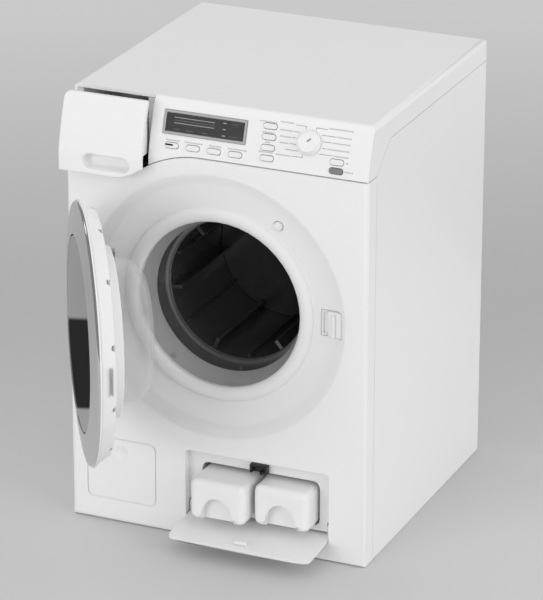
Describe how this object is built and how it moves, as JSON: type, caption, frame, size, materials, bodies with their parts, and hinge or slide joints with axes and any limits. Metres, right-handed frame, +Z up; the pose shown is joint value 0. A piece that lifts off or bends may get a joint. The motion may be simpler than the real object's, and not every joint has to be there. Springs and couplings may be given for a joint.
{
  "type": "toy washing machine",
  "caption": "Toy front-loading washing machine with a hinged round window door, geared turning drum, detergent drawer, flap with dosing containers, press keys and a programme dial.",
  "frame": {"origin": "centre of the flat underside that it stands on", "axes": "+Z up, the front with the door faces -Y, +X to the right as seen from the front"},
  "size_m": [0.185, 0.3092, 0.2635],
  "materials": {
    "inner_white": "off-white",
    "cell": "plain sleeve",
    "charcoal": "dark charcoal",
    "white": "semi-gloss white",
    "steel": "plain steel",
    "board": "green board",
    "silver": "satin silver",
    "key_white": "semi-gloss white",
    "display": "dark glossy",
    "clear": "clear plastic",
    "smoked": "smoked dark",
    "chrome": "polished",
    "gear": "natural white",
    "black": "black",
    "grey_rubber": "mid grey",
    "key_grey": "grey"
  },
  "bodies": {
    "cabinet": {"base_plate": "inner_white", "battery_1": "cell", "battery_2": "cell", "battery_3": "cell", "battery_4": "cell", "battery_box": "charcoal", "battery_cover": "white", "battery_cover_screw": "steel", "cabinet_shell": "white", "circuit_board": "board", "display_frame": "silver", "display_window": "display", "door_catch": "white", "door_hinge_bracket": "inner_white", "door_hinge_pin": "steel", "dosing_bay": "inner_white", "drawer_housing": "inner_white", "drive_motor": "steel", "drum_tub": "inner_white", "flap_catch": "black", "front_panel": "white", "gasket_ring": "grey_rubber", "gear_plate": "inner_white", "rear_cover": "white", "rear_screw_1": "steel", "rear_screw_2": "steel", "rear_screw_3": "steel", "rear_screw_4": "steel", "shaft_bearing": "steel", "speaker": "charcoal", "top_cover": "white"},
    "door": {"door_frame": "white", "door_ring": "chrome", "door_glass": "smoked", "door_bowl": "clear"},
    "drum": {"drum_shell": "charcoal", "drum_back": "charcoal", "drum_shaft": "steel", "drum_gear": "gear"},
    "pinion": {"motor_pinion": "gear"},
    "drawer": {"drawer_front": "white", "drawer_tray": "white"},
    "flap": {"flap": "white"},
    "container_left": {"container_left": "white"},
    "container_right": {"container_right": "white"},
    "dial": {"program_dial": "white"},
    "door_switch": {"door_switch_button": "white"},
    "display_key_1": {"display_key_1": "key_white"},
    "display_key_2": {"display_key_2": "key_white"},
    "display_key_3": {"display_key_3": "key_white"},
    "display_key_4": {"display_key_4": "key_white"},
    "side_key_1": {"side_key_1": "key_white"},
    "side_key_2": {"side_key_2": "key_white"},
    "side_key_3": {"side_key_3": "key_white"},
    "side_key_4": {"side_key_4": "key_white"},
    "light_key": {"light_key": "key_white"},
    "power_key": {"power_key": "key_grey"}
  },
  "joints": [
    {"name": "door_hinge", "type": "hinge", "parent": "cabinet", "child": "door", "pos_m": [-0.0771, -0.0797, 0.1453], "axis": [0, 0, 1], "range_deg": [0, 56.9]},
    {"name": "drum_spin", "type": "hinge", "parent": "cabinet", "child": "drum", "pos_m": [0, 0.014, 0.1453], "axis": [0, 1, 0], "continuous": true},
    {"name": "pinion_spin", "type": "hinge", "parent": "cabinet", "child": "pinion", "pos_m": [0, 0.0289, 0.11655], "axis": [0, 1, 0], "continuous": true},
    {"name": "drawer_slide", "type": "slide", "parent": "cabinet", "child": "drawer", "axis": [0, -1, 0], "range_m": [-0.0096, 0.03]},
    {"name": "flap_hinge", "type": "hinge", "parent": "cabinet", "child": "flap", "pos_m": [0.0257, -0.0846, 0.019], "axis": [1, 0, 0], "range_deg": [-94, 0]},
    {"name": "container_left_slide", "type": "slide", "parent": "cabinet", "child": "container_left", "axis": [0, 1, 0], "range_m": [0, 0.02892]},
    {"name": "container_right_slide", "type": "slide", "parent": "cabinet", "child": "container_right", "axis": [0, 1, 0], "range_m": [0, 0.02242]},
    {"name": "dial_turn", "type": "hinge", "parent": "cabinet", "child": "dial", "pos_m": [0.0553, -0.08607, 0.2506], "axis": [0, -0.9487, 0.3162], "continuous": true},
    {"name": "door_switch_push", "type": "slide", "parent": "cabinet", "child": "door_switch", "axis": [0, 1, 0], "range_m": [0, 0.0012], "stiffness_N_per_m": 150},
    {"name": "display_key_1_push", "type": "slide", "parent": "cabinet", "child": "display_key_1", "axis": [0, 0.9684, -0.2495], "range_m": [0, 0.0008], "stiffness_N_per_m": 150},
    {"name": "display_key_2_push", "type": "slide", "parent": "cabinet", "child": "display_key_2", "axis": [0, 0.9684, -0.2495], "range_m": [0, 0.0008], "stiffness_N_per_m": 150},
    {"name": "display_key_3_push", "type": "slide", "parent": "cabinet", "child": "display_key_3", "axis": [0, 0.9684, -0.2495], "range_m": [0, 0.0008], "stiffness_N_per_m": 150},
    {"name": "display_key_4_push", "type": "slide", "parent": "cabinet", "child": "display_key_4", "axis": [0, 0.9684, -0.2495], "range_m": [0, 0.0008], "stiffness_N_per_m": 150},
    {"name": "side_key_1_push", "type": "slide", "parent": "cabinet", "child": "side_key_1", "axis": [0, 0.9376, -0.3478], "range_m": [0, 0.0008], "stiffness_N_per_m": 150},
    {"name": "side_key_2_push", "type": "slide", "parent": "cabinet", "child": "side_key_2", "axis": [0, 0.9487, -0.3162], "range_m": [0, 0.0008], "stiffness_N_per_m": 150},
    {"name": "side_key_3_push", "type": "slide", "parent": "cabinet", "child": "side_key_3", "axis": [0, 0.9587, -0.2845], "range_m": [0, 0.0008], "stiffness_N_per_m": 150},
    {"name": "side_key_4_push", "type": "slide", "parent": "cabinet", "child": "side_key_4", "axis": [0, 0.9675, -0.2528], "range_m": [0, 0.0008], "stiffness_N_per_m": 150},
    {"name": "light_key_push", "type": "slide", "parent": "cabinet", "child": "light_key", "axis": [0, 0.9625, -0.2712], "range_m": [0, 0.0008], "stiffness_N_per_m": 150},
    {"name": "power_key_push", "type": "slide", "parent": "cabinet", "child": "power_key", "axis": [0, 0.9695, -0.2451], "range_m": [0, 0.0008], "stiffness_N_per_m": 150}
  ],
  "couplings": [
    {"joint": "pinion_spin", "follows": "drum_spin", "ratio": -3.6},
    {"joint": "container_left_slide", "follows": "flap_hinge", "m_per_rad": -0.017615},
    {"joint": "container_right_slide", "follows": "flap_hinge", "m_per_rad": -0.013653}
  ]
}
